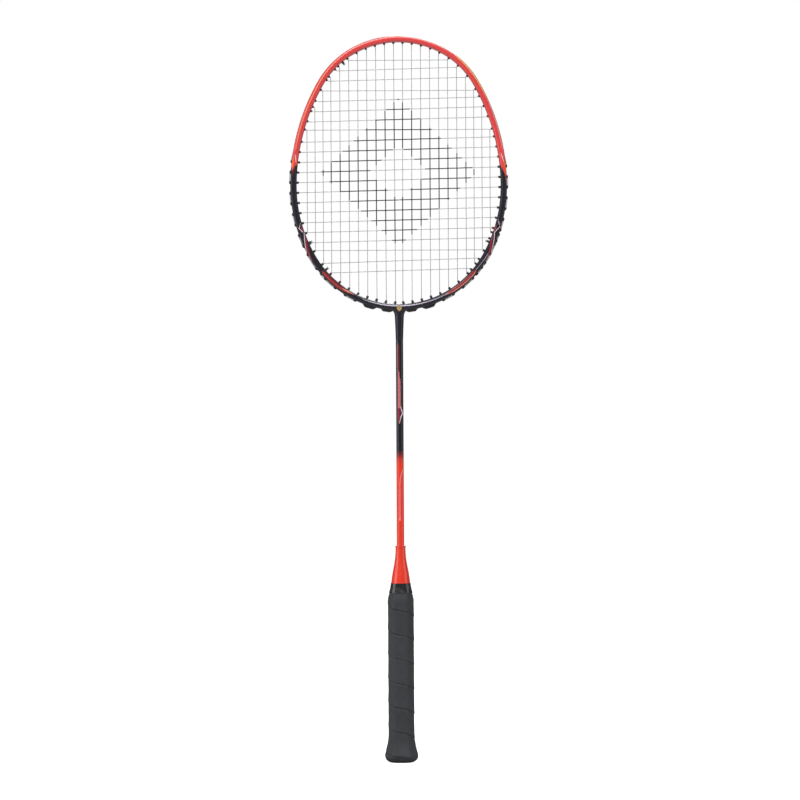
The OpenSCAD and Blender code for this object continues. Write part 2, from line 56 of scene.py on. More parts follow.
# ---- Sizes that repeat part.scad ----
OVERALL = 675.0
TUBE_W, TUBE_D = 6.0, 10.4
GROOVE_W, GROOVE_DEEP, GROOVE_END = 3.4, 1.0, 82.0
STRING_R = 0.35
STRING_GAP = 0.02  # between a string and what it lies on
STRING_SIDE = 0.4  # mains and crosses pass side by side through a hole
MAIN_PITCH, OUTER_PITCH, CROSS_PITCH = 8.35, 7.45, 9.35
CROSS_DROP, CROSS_RISE = 21.6, math.radians(1.35)
SHARE_GAP = 3.95  # closer holes than this become one
NOSE = 2.0
FLANGE = 0.4
SADDLE = 1.6
LEANS = (22.0, 14.3, 5.5)  # of the three holes beside the throat
SHAFT_R = 3.4
SLEEVE = 27.0  # from the head down to the sleeve's foot
HANDLE = 166.4
GRIP_W, GRIP_D, BEVEL = 24.2, 22.6, 5.6
WRAP = 1.6
BUTT_W = 31.0

# ---- Head outline: six tangent arcs a side, 30 degrees of heading each ----
ARCS = [86.3, 78.8, 192.3, 131.8, 94.3]
S30, S60 = 0.5, math.sqrt(3) / 2
ARCS.append(
    ARCS[0]
    + (S60 - S30) / S30 * (ARCS[1] - ARCS[4])
    + (1 - S60) / S30 * (ARCS[2] - ARCS[3])
)


def direction(h):
    return math.sin(math.radians(h)), math.cos(math.radians(h))


def arc_centres():
    found = [(0.0, OVERALL - TUBE_W / 2 - ARCS[0])]
    for k in range(1, 6):
        dx, dz = direction(30 * k)
        x, z = found[-1]
        found.append((x + (ARCS[k - 1] - ARCS[k]) * dx, z + (ARCS[k - 1] - ARCS[k]) * dz))
    return found


CENTRES = arc_centres()


def sideways(v):
    """The direction turned a quarter turn in the plane of the strings."""
    return Vector((v.z, 0, -v.x))


def hoop_point(h, out):
    """(x, z) at heading h, negative on the left, out millimetres outside the centre line."""
    h = (h + 180) % 360 - 180
    a, side = abs(h), -1 if h < 0 else 1
    k = min(5, int(a / 30))
    dx, dz = direction(a)
    return side * (CENTRES[k][0] + (ARCS[k] + out) * dx), CENTRES[k][1] + (ARCS[k] + out) * dz


THROAT_Z = hoop_point(180, TUBE_W / 2)[1]

# ---- Section of the head tube: a soft rounded box with a groove on its outer side ----
SOFT = 3.0  # exponent of the rounded box


def face_y(out):
    """Half depth of the tube where it is out millimetres from its middle."""
    return TUBE_D / 2 * max(0.0, 1 - abs(out * 2 / TUBE_W) ** SOFT) ** (1 / SOFT)


def side_out(y):
    return TUBE_W / 2 * max(0.0, 1 - abs(y * 2 / TUBE_D) ** SOFT) ** (1 / SOFT)


def box_normal(out, y):
    nx = math.copysign(abs(out * 2 / TUBE_W) ** (SOFT - 1) / TUBE_W, out)
    ny = math.copysign(abs(y * 2 / TUBE_D) ** (SOFT - 1) / TUBE_D, y)
    size = math.hypot(nx, ny) or 1.0
    return nx / size, ny / size


def groove_share(h):
    """1 where the groove is full, fading to 0 from 3 degrees before its end to 1 degree past it."""
    return max(0.0, min(1.0, (GROOVE_END + 1 - abs(h)) / 4))


def section(h):
    """Points (out, y) round the tube at heading h, starting in the middle of the groove."""
    deep = GROOVE_DEEP * groove_share(h)
    lip = GROOVE_W / 2
    brim = lip + 0.25
    trough = [(0.0, 1.0), (0.7, 1.0), (1.25, 0.97), (1.5, 0.7), (lip, 0.12), (brim, 0.0)]
    right = [(side_out(y) - deep * d, y) for y, d in trough]
    start = math.asin(min(1.0, (brim * 2 / TUBE_D) ** (SOFT / 2)))
    steps = 22
    for i in range(1, steps + 1):
        t = start + (math.pi - start) * i / steps
        c, s = math.cos(t), math.sin(t)
        out = math.copysign(abs(c) ** (2 / SOFT), c) * TUBE_W / 2
        right.append((out, abs(s) ** (2 / SOFT) * TUBE_D / 2))
    return right + [(out, -y) for out, y in reversed(right[1:-1])]


# ---- Mesh helpers ----
def new_piece(name, solid, material, replaces=(), sharp=50):
    """Smooth piece from (verts, faces), creased where its faces turn by more than sharp degrees."""
    verts, faces = solid
    mesh = bpy.data.meshes.new(name)
    mesh.from_pydata([tuple(c * MM for c in v) for v in verts], [], faces)
    bm = bmesh.new()
    bm.from_mesh(mesh)
    bmesh.ops.remove_doubles(bm, verts=bm.verts, dist=1e-6)
    bmesh.ops.recalc_face_normals(bm, faces=bm.faces)
    for face in bm.faces:
        face.smooth = True
    for edge in bm.edges:
        if len(edge.link_faces) == 2 and edge.calc_face_angle(0) > math.radians(sharp):
            edge.smooth = False
    bm.to_mesh(mesh)
    bm.free()
    mesh.materials.append(material)
    piece = bpy.data.objects.new(name, mesh)
    bpy.context.scene.collection.objects.link(piece)
    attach(piece, "root")
    if replaces:
        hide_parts(*replaces)


def ring_faces(first, second, n):
    """Quads between two rings of n points that start at those indices."""
    return [(first + j, first + (j + 1) % n, second + (j + 1) % n, second + j) for j in range(n)]


def rings_solid(rings, cap=True, closed=False):
    """(verts, faces) of a solid through rings of equal length."""
    n = len(rings[0])
    verts = [p for ring in rings for p in ring]
    faces = []
    for i in range(len(rings) - 1):
        faces += ring_faces(i * n, (i + 1) * n, n)
    if closed:
        faces += ring_faces((len(rings) - 1) * n, 0, n)
    elif cap:
        faces.append(tuple(range(n)))
        faces.append(tuple(range((len(rings) - 1) * n, len(rings) * n)))
    return verts, faces


def joined(parts):
    """One (verts, faces) from several."""
    verts, faces = [], []
    for v, f in parts:
        base = len(verts)
        verts += v
        faces += [tuple(i + base for i in face) for face in f]
    return verts, faces


def turns(n):
    """n angles spread evenly round a full turn."""
    return [2 * math.pi * k / n for k in range(n)]


def circle(r, z, n):
    """n points round the Z axis."""
    return [(r * math.cos(a), r * math.sin(a), z) for a in turns(n)]


def revolve(profile, n):
    """Solid of revolution about Z through (r, z) points, the first and last on or near the axis."""
    return rings_solid([circle(r, z, n) for r, z in profile])


def tube(points, radius, sides):
    """Round tube along a path, with flat ends."""
    pts = [Vector(p) for p in points]
    n = len(pts)
    tangents = [(pts[min(i + 1, n - 1)] - pts[max(i - 1, 0)]).normalized() for i in range(n)]
    up = tangents[0].orthogonal().normalized()
    rings = []
    for p, t in zip(pts, tangents):
        up = (up - t * up.dot(t)).normalized()
        across = t.cross(up)
        rings.append([tuple(p + radius * (math.cos(a) * up + math.sin(a) * across)) for a in turns(sides)])
    return rings_solid(rings)


def skin(points, normals, lift, sunk=0.08):
    """Thin closed solid over a grid of surface points."""
    rows, cols = len(points), len(points[0])
    top = [p + q * lift for r, s in zip(points, normals) for p, q in zip(r, s)]
    low = [p - q * sunk for r, s in zip(points, normals) for p, q in zip(r, s)]
    verts = [tuple(v) for v in top + low]
    base = rows * cols
    faces = []
    for i in range(rows - 1):
        for j in range(cols - 1):
            a, b, c, d = i * cols + j, i * cols + j + 1, (i + 1) * cols + j + 1, (i + 1) * cols + j
            faces += [(a, b, c, d), (base + d, base + c, base + b, base + a)]
    edge = [(0, j) for j in range(cols)] + [(i, cols - 1) for i in range(1, rows)]
    edge += [(rows - 1, j) for j in range(cols - 2, -1, -1)] + [(i, 0) for i in range(rows - 2, 0, -1)]
    loop = [i * cols + j for i, j in edge]
    for a, b in zip(loop, loop[1:] + loop[:1]):
        faces.append((a, b, base + b, base + a))
    return verts, faces


# ---- Materials ----
def material(name, colour, rough, **sockets):
    mat = bpy.data.materials.new(name)
    mat.use_nodes = True
    shader = mat.node_tree.nodes["Principled BSDF"]
    shader.inputs["Base Color"].default_value = (*colour, 1)
    shader.inputs["Roughness"].default_value = rough
    for socket, value in sockets.items():
        shader.inputs[socket.replace("_", " ")].default_value = value
    return mat


def add(mat, kind, **values):
    node = mat.node_tree.nodes.new(kind)
    for key, value in values.items():
        if key in node.inputs:
            node.inputs[key].default_value = value
        else:
            setattr(node, key, value)
    return node


def link(mat, a, out, b, into):
    mat.node_tree.links.new(a.outputs[out], b.inputs[into])


def place(mat):
    return add(mat, "ShaderNodeTexCoord")


def noise(mat, per_metre, detail=3.0, rough=0.5, at=None):
    node = add(mat, "ShaderNodeTexNoise", Scale=per_metre, Detail=detail, Roughness=rough)
    link(mat, at or place(mat), "Object", node, "Vector")
    return node


def ramp(mat, source, out, stops):
    node = add(mat, "ShaderNodeValToRGB")
    marks = node.color_ramp.elements
    while len(marks) < len(stops):
        marks.new(0.5)
    for mark, (at, colour) in zip(marks, stops):
        mark.position = at
        mark.color = (*colour, 1)
    link(mat, source, out, node, "Fac")
    return node


def scaled(colour, by):
    return tuple(min(1.0, c * by) for c in colour)


def shader_of(mat):
    return mat.node_tree.nodes["Principled BSDF"]


def mottle(mat, colour, per_metre, low, high):
    """Colour that wanders a little over the surface."""
    patches = noise(mat, per_metre)
    tint = ramp(mat, patches, "Fac", [(0.3, scaled(colour, low)), (0.7, scaled(colour, high))])
    link(mat, tint, "Color", shader_of(mat), "Base Color")
    return tint


def vary_roughness(mat, per_metre, low, high):
    wear = noise(mat, per_metre, detail=4)
    span = add(mat, "ShaderNodeMapRange")
    span.inputs["To Min"].default_value = low
    span.inputs["To Max"].default_value = high
    link(mat, wear, "Fac", span, "Value")
    link(mat, span, "Result", shader_of(mat), "Roughness")


def bump(mat, source, out, height_mm, strength=1.0):
    node = add(mat, "ShaderNodeBump", Strength=strength, Distance=height_mm * MM)
    link(mat, source, out, node, "Height")
    link(mat, node, "Normal", shader_of(mat), "Normal")
    return node


def lacquer(name, colour, rough=0.28, low=0.93, high=1.05, coat=0.6, **sockets):
    """Clear gloss over pigmented paint, with fine flake and faint orange peel."""
    mat = material(name, colour, rough, Coat_Weight=coat, Coat_Roughness=0.08, **sockets)
    mottle(mat, colour, 420, low, high)
    vary_roughness(mat, 1500, rough - 0.05, rough + 0.08)
    bump(mat, noise(mat, 700, detail=2), "Fac", 0.02, 0.5)
    return mat


def plastic(name, colour, rough, grain=0.02, **sockets):
    mat = material(name, colour, rough, **sockets)
    mottle(mat, colour, 300, 0.9, 1.08)
    vary_roughness(mat, 2200, rough - 0.06, rough + 0.06)
    bump(mat, noise(mat, 2600, detail=4), "Fac", grain, 0.6)
    return mat


def leather(name, colour):
    """Synthetic leather wrap: fine pebble grain, pores, and lighter worn patches."""
    mat = material(name, colour, 0.6)
    at = place(mat)
    patches = noise(mat, 60, detail=6, rough=0.65, at=at)
    tint = ramp(mat, patches, "Fac", [(0.3, scaled(colour, 0.82)), (0.7, scaled(colour, 1.25))])
    link(mat, tint, "Color", shader_of(mat), "Base Color")
    vary_roughness(mat, 900, 0.52, 0.7)
    cells = add(mat, "ShaderNodeTexVoronoi", Scale=1500.0)
    link(mat, at, "Object", cells, "Vector")
    fine = noise(mat, 4200, detail=2, at=at)
    both = add(mat, "ShaderNodeMath", operation="ADD")
    link(mat, cells, "Distance", both, 0)
    link(mat, fine, "Fac", both, 1)
    bump(mat, both, "Value", 0.12, 0.8)
    return mat


def faded_shaft(name, upper, lower, fade_low, fade_high):
    """Black lacquer above that fades into the lower colour between two heights."""
    mat = material(name, lower, 0.32, Coat_Weight=0.35, Coat_Roughness=0.08, Specular_IOR_Level=0.4)
    at = place(mat)
    axes = add(mat, "ShaderNodeSeparateXYZ")
    link(mat, at, "Object", axes, "Vector")
    spray = noise(mat, 900, detail=5, at=at)
    jitter = add(mat, "ShaderNodeMath", operation="MULTIPLY_ADD")
    jitter.inputs[1].default_value = 4 * MM
    link(mat, spray, "Fac", jitter, 0)
    link(mat, axes, "Z", jitter, 2)
    span = add(mat, "ShaderNodeMapRange")
    span.inputs["From Min"].default_value = (fade_low + 2) * MM
    span.inputs["From Max"].default_value = (fade_high + 2) * MM
    link(mat, jitter, "Value", span, "Value")
    warm, deep = (tuple(k * a + (1 - k) * b for a, b in zip(upper, lower)) for k in (0.25, 0.82))
    tint = ramp(mat, span, "Result", [(0.0, lower), (0.4, warm), (0.7, deep), (1.0, upper)])
    link(mat, tint, "Color", shader_of(mat), "Base Color")
    vary_roughness(mat, 1500, 0.2, 0.34)
    bump(mat, noise(mat, 700, detail=2), "Fac", 0.02, 0.5)
    return mat


def wood(name, colour):
    mat = material(name, colour, 0.6)
    grain = add(mat, "ShaderNodeTexWave", Scale=260.0, Distortion=4.0, Detail=3.0)
    link(mat, place(mat), "Object", grain, "Vector")
    tint = ramp(mat, grain, "Fac", [(0.2, scaled(colour, 0.75)), (0.8, scaled(colour, 1.1))])
    link(mat, tint, "Color", shader_of(mat), "Base Color")
    vary_roughness(mat, 500, 0.5, 0.7)
    bump(mat, grain, "Fac", 0.03, 0.4)
    return mat


CORAL = (0.80, 0.056, 0.056)
DARK = (0.012, 0.0095, 0.018)
RED_ORANGE = (0.90, 0.045, 0.018)
coral = lacquer("coral_lacquer", CORAL, low=0.92, high=1.1)
dark = lacquer("blue_black_lacquer", DARK, rough=0.36, low=0.8, high=1.3, coat=0.3, Specular_IOR_Level=0.35)
groove_dark = plastic("groove_dark", (0.035, 0.014, 0.015), 0.6)
# Pale pink is paint on the lower pink line and a painted highlight along the crown's outer bevel
pale_pink = lacquer("pale_pink_paint_and_highlight", (0.86, 0.30, 0.27))
# Peach is paint on the lower tip and a painted highlight on the left shoulder
peach = lacquer("peach_paint_and_highlight", (0.90, 0.36, 0.20))
# Gold is used only as a painted highlight on the right shoulder's bevel
gold = lacquer("gold_painted_highlight", (0.88, 0.50, 0.16))
orange = lacquer("orange_paint", (0.88, 0.11, 0.02))
lilac = lacquer("lilac_white_paint", (0.62, 0.56, 0.68))
pink_white = lacquer("pink_white_paint", (0.85, 0.62, 0.66))
crimson = lacquer("crimson_paint", (0.27, 0.014, 0.034))
maroon = lacquer("maroon_paint", (0.13, 0.012, 0.018))
red = lacquer("red_paint", (0.43, 0.038, 0.032))
badge_gold = lacquer("badge_gold", (0.72, 0.52, 0.20), rough=0.3, Metallic=0.6)
shaft_paint = faded_shaft("shaft_lacquer", DARK, RED_ORANGE, 276, 290)
cone_red = plastic("cone_plastic", RED_ORANGE, 0.3, grain=0.008, Coat_Weight=0.5, Coat_Roughness=0.1)
black_nylon = plastic("black_nylon", (0.022, 0.021, 0.024), 0.42)
moulded = plastic("moulded_resin", (0.05, 0.05, 0.052), 0.5)
cap_black = plastic("cap_plastic", (0.02, 0.021, 0.024), 0.4)
medallion_red = plastic("medallion_plastic", (0.55, 0.05, 0.035), 0.25, grain=0.005, Coat_Weight=0.6)
band_gloss = plastic("gloss_band", (0.014, 0.015, 0.018), 0.26, grain=0.01, Coat_Weight=0.5)
string_white = plastic("string_nylon", (0.46, 0.465, 0.48), 0.34, grain=0.02)
string_ink = plastic("string_ink", (0.008, 0.008, 0.009), 0.5, grain=0.02)
charcoal = leather("grip_leather", (0.030, 0.033, 0.038))
steel = plastic("staple_steel", (0.6, 0.6, 0.6), 0.3, Metallic=1.0)
ash = wood("core_wood", (0.62, 0.44, 0.26))


for node, mat in {
    "shaft": shaft_paint,
    "cone_cap": cone_red,
    "shaft_tenon": moulded,
    "handle_core": ash,
    "grip_staple": steel,
}.items():
    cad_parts[node].data.materials.clear()
    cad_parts[node].data.materials.append(mat)


# ---- Head tube: a coral piece above and a dark piece below, meeting on a slant ----
# Heading where the coral ends on the right (1) and the left (-1), at the inner and the outer face
CORAL_END = {1: (84.0, 88.2), -1: (83.9, 85.2)}


def paint_edge(side, out):
    inner, outer = CORAL_END[side]
    return inner + (outer - inner) * (out + TUBE_W / 2) / TUBE_W


def hoop_ring(start, stop, share):
    """Ring of the tube whose heading runs, point by point, share of the way from start to stop."""
    middle = start(0) + (stop(0) - start(0)) * share
    ring = []
    for out, y in section((middle + 180) % 360 - 180):
        h = start(out) + (stop(out) - start(out)) * share
        x, z = hoop_point(h, out)
        ring.append((x, y, z))
    return ring


def hoop_piece(name, start, stop, steps, mat):
    """Length of the tube between two slanted ends, whose headings are functions of out."""
    rings = [hoop_ring(start, stop, i / steps) for i in range(steps + 1)]
    new_piece(name, rings_solid(rings), mat, ["head_frame"], sharp=60)


hoop_piece(
    "head_coral", lambda out: -paint_edge(-1, out), lambda out: paint_edge(1, out),
    168, coral,
)
hoop_piece(
    "head_dark", lambda out: paint_edge(1, out), lambda out: 360 - paint_edge(-1, out),
    192, dark,
)

# ---- Painted stripes and painted highlights on the head: thin skins through (heading, middle out, width) points ----
STRIPE_REACH = 2.93  # stripes stop just short of the tube's sides
ACROSS = 6  # quads across a stripe


def path_steps(path, step):
    """(place, middle, width) along a stripe's path, about step apart."""
    for first, last in zip(path, path[1:]):
        steps = max(1, int(abs(last[0] - first[0]) / step))
        for i in range(steps + (last == path[-1])):
            t = i / steps
            yield [a + (b - a) * t for a, b in zip(first, last)]


def hoop_grid(path, face):
    """Surface points and normals of a stripe on the front (-1) or the back (1)."""
    points, normals = [], []
    for h, middle, width in path_steps(path, 0.75):
        row, ups = [], []
        for j in range(ACROSS + 1):
            out = max(-STRIPE_REACH, min(STRIPE_REACH, middle + width * (j / ACROSS - 0.5)))
            y = face * face_y(out)
            x, z = hoop_point(h, out)
            n_out, n_y = box_normal(out, y)
            ax, az = hoop_point(h, out + 1)
            row.append(Vector((x, y, z)))
            ups.append(Vector(((ax - x) * n_out, n_y, (az - z) * n_out)))
        points.append(row)
        normals.append(ups)
    return points, normals


def stripes(name, mat, paths, lift=0.05):
    """The same stripes on the head's front and back. Each paint has its own lift where two overlap."""
    parts = [skin(*hoop_grid(path, face), lift) for path in paths for face in (-1, 1)]
    new_piece(name, joined(parts), mat, sharp=40)


def mirrored(path):
    return [(-h, o, w) for h, o, w in path]


def groove_grid(steps=160):
    """Points and normals over the trough and the tube beside it, to 1 degree inside its ends."""
    reach = GROOVE_END - 1
    points, normals = [], []
    for i in range(steps + 1):
        h = -reach + i * 2 * reach / steps
        ring = section(h)
        row = []
        for out, y in ring[-7:] + ring[:8]:
            x, z = hoop_point(h, out)
            row.append(Vector((x, y, z)))
        dx, dz = direction(abs(h))
        away = Vector((math.copysign(dx, h), 0, dz))
        along = sideways(away)
        ups = []
        for j, p in enumerate(row):
            a, b = row[max(0, j - 1)], row[min(len(row) - 1, j + 1)]
            n = (b - a).cross(along).normalized()
            ups.append(n if n.dot(away) >= 0 or abs(n.y) > 0.7 and n.y * p.y < 0 else -n)
        points.append(row)
        normals.append(ups)
    return points, normals


new_piece("groove_lining", skin(*groove_grid(), 0.02, sunk=0.1), groove_dark, sharp=60)
# Painted highlight: the pale pink line stands in for light reflected on the crown's outer bevel
stripes("crown_painted_highlight", pale_pink, [
    [(-40, 1.2, 0.3), (-30, 1.75, 0.8), (0, 1.9, 1.0), (28, 1.8, 0.9), (38, 1.9, 0.3)],
    [(64, 2.1, 0.3), (67, 2.2, 0.8), (76, 2.0, 1.1), (80, 1.6, 0.6)],
])
# Painted highlight: the peach line stands in for light reflected on the left shoulder's lacquer
stripes("shoulder_painted_peach_highlight", peach, [
    [(-80, 0.6, 0.3), (-74, 0.8, 0.7), (-60, 0.9, 0.8), (-45, 1.0, 0.7), (-36, 1.5, 0.3)],
])
# Painted highlight: the gold line stands in for light reflected on the right shoulder's bevel
stripes("shoulder_painted_gold_highlight", gold, [
    [(37, 1.9, 0.3), (42, 1.8, 0.9), (52, 1.7, 1.0), (62, 1.9, 0.9), (66, 2.1, 0.3)],
])
stripes("shoulder_flash_white", pink_white, [
    [(-81.2, 0.2, 0.3), (-82.0, -0.4, 0.9), (-83.4, -1.3, 0.3)],
    [(81.0, -0.3, 0.3), (82.2, 0.3, 0.9), (83.8, 1.0, 0.3)],
], lift=0.06)
stripes("shoulder_flash_orange", orange, [
    [(-82.0, 1.5, 0.6), (-83.2, 1.2, 2.2), (-84.4, 1.0, 2.0), (-85.6, 1.0, 0.4)],
    [(83.2, 1.5, 0.6), (84.4, 1.6, 2.0), (86.2, 1.9, 1.6), (87.8, 2.4, 0.4)],
], lift=0.08)
stripes("shoulder_fade", maroon, [
    [(-84.6, 0.2, 3.0), (-85.8, 0.5, 2.4), (-87.0, 0.8, 0.6)],
    [(87.0, 1.6, 2.0), (88.4, 2.1, 1.3), (89.8, 2.5, 0.3)],
])
stripes("flank_zigzag", pink_white, [
    [(-104.6, -2.9, 0.4), (-107.2, 0.8, 0.75), (-109.8, -2.2, 0.75), (-112.4, -0.2, 0.7),
     (-117.6, 3.0, 0.5)],
    [(103.2, -2.9, 0.4), (106.8, 1.7, 0.75), (109.5, -1.5, 0.75), (112.5, 0.6, 0.7), (117.3, 3.0, 0.5)],
], lift=0.06)
WEDGES = [
    [(-105.8, -2.7, 0.4), (-107.6, -1.9, 1.7), (-109.2, -2.6, 0.8)],
    [(-111.4, -1.9, 0.5), (-113.0, -1.3, 1.4), (-116.0, 0.5, 2.0), (-119.0, 2.1, 1.9), (-122.5, 3.0, 0.4)],
]
stripes("flank_wedges", crimson, WEDGES + [mirrored(p) for p in WEDGES], lift=0.04)
LOWER = [
    (-129.4, 0.2, 0.3), (-131.0, 0.4, 2.0), (-143.0, 0.3, 2.0), (-149.0, -0.6, 1.3), (-151.5, -1.4, 0.3),
]
stripes("lower_red_stripes", red, [LOWER, mirrored(LOWER)], lift=0.055)
UNDER = [(-129.8, -1.4, 0.5), (-133.0, -1.5, 1.8), (-145.0, -1.7, 1.6), (-148.5, -2.2, 0.4)]
stripes("lower_maroon_stripes", maroon, [UNDER, mirrored(UNDER)], lift=0.03)
stripes("lower_peach_tip", peach, [
    [(-144.5, -0.7, 0.3), (-148.0, -1.0, 0.9), (-152.0, -1.6, 0.3)],
], lift=0.075)
stripes("lower_pink_line", pale_pink, [
    [(129.5, 0.5, 0.3), (133.0, 1.1, 0.55), (147.0, 0.7, 0.55), (152.0, -0.2, 0.3)],
], lift=0.075)
stripes("throat_lilac_line", lilac, [
    [(-158, -0.7, 0.2), (-163, -0.9, 0.6), (-172, -1.0, 0.9), (-180, -1.05, 0.95), (-188, -1.0, 0.9),
     (-198, -0.8, 0.6), (-209, -0.5, 0.4), (-212, -0.2, 0.2)],
    [(118.5, 1.0, 0.2), (121, 0.7, 0.4), (129.5, -0.2, 0.3)],
])


# ---- Throat: a sleeve that swells into the head with a rounded web ----
def throat_sleeve():
    """Collar round the top of the shaft, which swells a little, and a web that grows into the head."""
    foot, collar_high, swell, n = THROAT_Z - SLEEVE, 19.9, 0.72, 64
    collar = [(SHAFT_R + 0.01, foot + 0.1), (SHAFT_R + 0.05, foot)]
    for t in (0, 0.2, 0.4, 0.6, 0.8, 1.0):
        collar.append((SHAFT_R + 0.08 + swell * t**1.3, foot + 0.1 + collar_high * t))
    rings = [circle(r, z, n) for r, z in collar]
    base_r, base_z = collar[-1]
    web_x, web_y, sunk, steps = 3.6, 0.75, 0.35, 12
    for i in range(1, steps + 1):
        t = i / steps
        grow = (1 - math.sqrt(max(0.0, 1 - t * t))) * 0.75 + 0.25 * t**3
        ring = []
        for a in turns(n):
            x = (base_r + web_x * grow) * math.cos(a)
            y = (base_r + web_y * grow) * math.sin(a)
            top = hoop_bottom(x, y) + sunk
            ring.append((x, y, base_z + (top - base_z) * t))
        rings.append(ring)
    new_piece("throat_sleeve", rings_solid(rings), dark, ["t_joint"], sharp=60)


def hoop_bottom(x, y):
    """Height of the head's outer face below the throat, at x and y."""
    r = ARCS[5] + side_out(min(abs(y), TUBE_D / 2 - 0.05))
    return CENTRES[5][1] - math.sqrt(r * r - x * x)


throat_sleeve()


def throat_badge():
    """Small plain lozenge where the sleeve meets the head, front and back."""
    middle, half_w, half_h, n = THROAT_Z + 1.9, 2.5, 2.9, 24
    bulge = 1.25  # 1 gives straight sides, 2 a circle
    rims = [(1.0, 0.0), (0.92, 0.22), (0.6, 0.24), (0.52, 0.12), (0.0, 0.12)]
    parts = []
    for face in (-1, 1):
        rings = []
        for size, rise in rims:
            ring = []
            for a in turns(n):
                c, s = math.cos(a), math.sin(a)
                fit = 1 / (abs(c) ** bulge + abs(s) ** bulge) ** (1 / bulge)
                x, z = half_w * size * fit * c, middle + half_h * size * fit * s
                ring.append((x, face * (TUBE_D / 2 - 0.04 + rise), z))
            rings.append(ring)
        root = [(x, face * (TUBE_D / 2 - 1.6), z) for x, _, z in rings[0]]
        parts.append(rings_solid([root] + rings))
    new_piece("throat_badge", joined(parts), badge_gold, sharp=30)


throat_badge()

# ---- Holes and the run of the strings ----
NOSE_OUT = -TUBE_W / 2 - NOSE
STRING_IN = NOSE_OUT - 0.3
INNER_MAINS, MAINS, CROSSES = 8, 11, 22


def main_x(i):
    return MAIN_PITCH * (min(i, INNER_MAINS) - 0.5) + OUTER_PITCH * max(0, i - INNER_MAINS)


def in_arc(h, k):
    return 30 * k <= h < 30 * (k + 1)


def main_heading(i, arcs, foot):
    for k in arcs:
        across = (main_x(i) - CENTRES[k][0]) / (ARCS[k] + STRING_IN)
        if abs(across) > 1:
            continue
        h = math.degrees(math.asin(across))
        h = 180 - h if foot else h
        if in_arc(h, k):
            return h
    return None


TOPS = [main_heading(i, (0, 1, 2), False) for i in range(1, MAINS + 1)]
FEET = [main_heading(i, (3, 4, 5), True) for i in range(1, MAINS + 1)]


def cross_height(j):
    return OVERALL - CROSS_DROP - j * CROSS_PITCH


def cross_heading(j, rise):
    for k in range(6):
        cx, cz = CENTRES[k]
        away = math.sin(rise) * cx + math.cos(rise) * (cross_height(j) - cz)
        if abs(away) < ARCS[k] + STRING_IN:
            h = math.degrees(math.acos(away / (ARCS[k] + STRING_IN)) - rise)
            if in_arc(h, k):
                return snapped(h)
    return None


def snapped(h):
    """A cross string shares the hole of a main string that lies beside it."""
    k = min(5, int(h / 30))
    for other in TOPS + FEET:
        if math.radians(abs(h - other)) * ARCS[k] < SHARE_GAP:
            return other
    return h


RIGHT = [cross_heading(j, CROSS_RISE) for j in range(CROSSES)]
LEFT = [cross_heading(j, -CROSS_RISE) for j in range(CROSSES)]
MAIN_TIE = (FEET[10] + FEET[9]) / 2
CROSS_TIE_TOP = (TOPS[6] + TOPS[5]) / 2
CROSS_TIE_FOOT = (FEET[8] + FEET[7]) / 2
THROAT_EDGE = (FEET[3] + FEET[4]) / 2


def lean(h):
    for share, foot in zip(LEANS, FEET):
        if abs(abs(h) - foot) < 1e-9:
            return share
    return 0.0


def hole_axis(h):
    """Base point at the tube's inner face and the outward direction of a hole."""
    a, side = abs(h), -1 if h < 0 else 1
    x, z = hoop_point(a, -TUBE_W / 2)
    dx, dz = direction(a - lean(h))
    return Vector((side * x, 0, z)), Vector((side * dx, 0, dz))


def hole_point(h, out, y=0.0):
    base, way = hole_axis(h)
    return base + way * (out + TUBE_W / 2) + Vector((0, y, 0))


def floor_out(h):
    return TUBE_W / 2 - (GROOVE_DEEP if abs(h) < GROOVE_END else 0.0)


def string_out(h):
    if abs(h) > THROAT_EDGE:
        return TUBE_W / 2 + SADDLE + STRING_R + STRING_GAP
    return floor_out(h) + FLANGE + STRING_R + STRING_GAP


def outer_loop(a, b, y):
    """Points along the outside of the head between two holes."""
    n = max(1, math.ceil(abs(b - a) / 4))
    points = []
    for i in range(1, n):
        h = a + (b - a) * i / n
        out = string_out(a) + (string_out(b) - string_out(a)) * i / n
        sag = 0.0 if abs(h) > THROAT_EDGE else 0.36 * math.sin(math.pi * i / n)
        x, z = hoop_point(h, max(out, string_out(h)) - sag)
        points.append(Vector((x, y, z)))
    return points


def ends(h, y):
    """Where a string turns outside the hole, and where it leaves the hole's nose."""
    return hole_point(h, string_out(h), y), hole_point(h, STRING_IN, y)


COLUMNS = [-i for i in range(MAINS, 0, -1)] + list(range(1, MAINS + 1))
MAIN_SWING, CROSS_SWING = 0.24, 0.48
END_SHARE, END_MM = 0.012, 3.0  # crossings nearer than this to a string's ends don't bend it


def string_height(j, x):
    left, right = ends(-LEFT[j], 0)[1], ends(RIGHT[j], 0)[1]
    return left.z + (right.z - left.z) * (x - left.x) / (right.x - left.x)


def side_of(i, j):
    """1 where cross j passes behind column i, -1 where it passes in front."""
    return 1 if (i + j) % 2 == 0 else -1


def woven(low, high, knots, swing, steps=6):
    """Waves from low to high through knots of (share, side), with flat ends."""
    marks = [(0.0, None)] + knots + [(1.0, None)]
    points = []
    for (s0, a), (s1, b) in zip(marks, marks[1:]):
        for i in range(steps):
            t = i / steps
            p = low.lerp(high, s0 + (s1 - s0) * t)
            ease = (1 - math.cos(math.pi * t)) / 2
            start = low.y if a is None else a * swing
            stop = high.y if b is None else b * swing
            p.y = start + (stop - start) * ease
            points.append(p)
    return points + [high.copy()]


def main_column(c):
    i = COLUMNS[c]
    side, k = (1 if i > 0 else -1), abs(i) - 1
    foot_out, foot_in = ends(side * FEET[k], STRING_SIDE)
    top_out, top_in = ends(side * TOPS[k], STRING_SIDE)
    knots = []
    for j in reversed(range(CROSSES)):
        share = (string_height(j, foot_in.x) - foot_in.z) / (top_in.z - foot_in.z)
        if END_SHARE < share < 1 - END_SHARE:
            knots.append((share, -side_of(c, j)))
    return [foot_out] + woven(foot_in, top_in, knots, MAIN_SWING) + [top_out]


